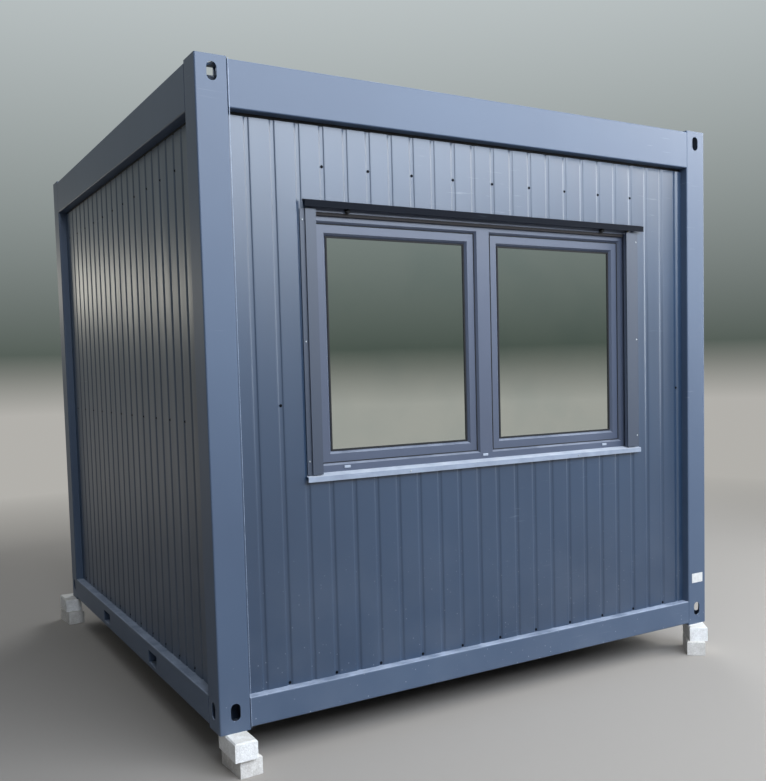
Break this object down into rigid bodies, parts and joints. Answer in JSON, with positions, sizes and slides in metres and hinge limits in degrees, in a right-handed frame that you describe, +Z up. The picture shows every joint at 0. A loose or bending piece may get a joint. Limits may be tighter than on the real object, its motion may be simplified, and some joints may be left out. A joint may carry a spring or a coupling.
{
  "type": "portable site cabin",
  "caption": "Steel-framed portable site cabin with ribbed dark grey cladding, a wide two-sash window with sill, slotted corner posts, fork pockets and concrete block piers.",
  "frame": {"origin": "at ground level, midway between the four corner posts, which is the middle of the whole part's plan with its piers", "axes": "+X to the right along the window front, +Y into the building from the window front to the back wall, +Z up"},
  "size_m": [3.099, 3.224, 2.96],
  "materials": {
    "frame_paint": "blue-grey semi-gloss paint on folded steel, worn at edges, rust at chips, dust on the ledge",
    "cladding_paint": "blue-grey coil-coated ribbed sheet, semi-gloss, scuffed and splashed with mud near the bottom",
    "core_wool": "mineral wool core between skin and lining",
    "lining_board": "white coated chipboard lining",
    "floor_vinyl": "grey vinyl flooring on board",
    "zinc_sheet": "galvanised steel sheet",
    "seal_rubber": "black foam seal",
    "pane_glass": "insulating glass, reflective from outside",
    "window_plastic": "blue-grey foiled window profile",
    "trim_paint": "blue-grey folded trim, semi-gloss",
    "sill_metal": "pale blue-grey folded sill",
    "shutter_slats": "grey-brown roller shutter slats",
    "concrete": "grey concrete paving block, dusty"
  },
  "bodies": {
    "root": {"ceiling_panel": "lining_board", "cladding_back": "cladding_paint", "cladding_front": "cladding_paint", "cladding_left": "cladding_paint", "cladding_right": "cladding_paint", "corner_plates_bottom": "frame_paint", "corner_plates_top": "frame_paint", "corner_post_back_left": "frame_paint", "corner_post_back_right": "frame_paint", "corner_post_front_left": "frame_paint", "corner_post_front_right": "frame_paint", "drip_flashing": "trim_paint", "floor_beam_back": "frame_paint", "floor_beam_front": "frame_paint", "floor_beam_left": "frame_paint", "floor_beam_right": "frame_paint", "floor_deck": "floor_vinyl", "floor_joists": "zinc_sheet", "fork_tunnel_back": "frame_paint", "fork_tunnel_front": "frame_paint", "glass_left": "pane_glass", "glass_right": "pane_glass", "lining_back": "lining_board", "lining_front": "lining_board", "lining_left": "lining_board", "lining_right": "lining_board", "pier_blocks_lower": "concrete", "pier_blocks_upper": "concrete", "roller_shutter": "shutter_slats", "roof_beam_back": "frame_paint", "roof_beam_front": "frame_paint", "roof_beam_left": "frame_paint", "roof_beam_right": "frame_paint", "roof_joists": "zinc_sheet", "roof_sheet": "zinc_sheet", "sash_left": "window_plastic", "sash_right": "window_plastic", "seal_strips": "seal_rubber", "shutter_box": "window_plastic", "shutter_guides": "window_plastic", "wall_core_back": "core_wool", "wall_core_front_above": "core_wool", "wall_core_front_below": "core_wool", "wall_core_front_left": "core_wool", "wall_core_front_right": "core_wool", "wall_core_left": "core_wool", "wall_core_right": "core_wool", "window_frame": "window_plastic", "window_sill": "sill_metal", "window_trim_left": "trim_paint", "window_trim_right": "trim_paint"}
  },
  "joints": []
}
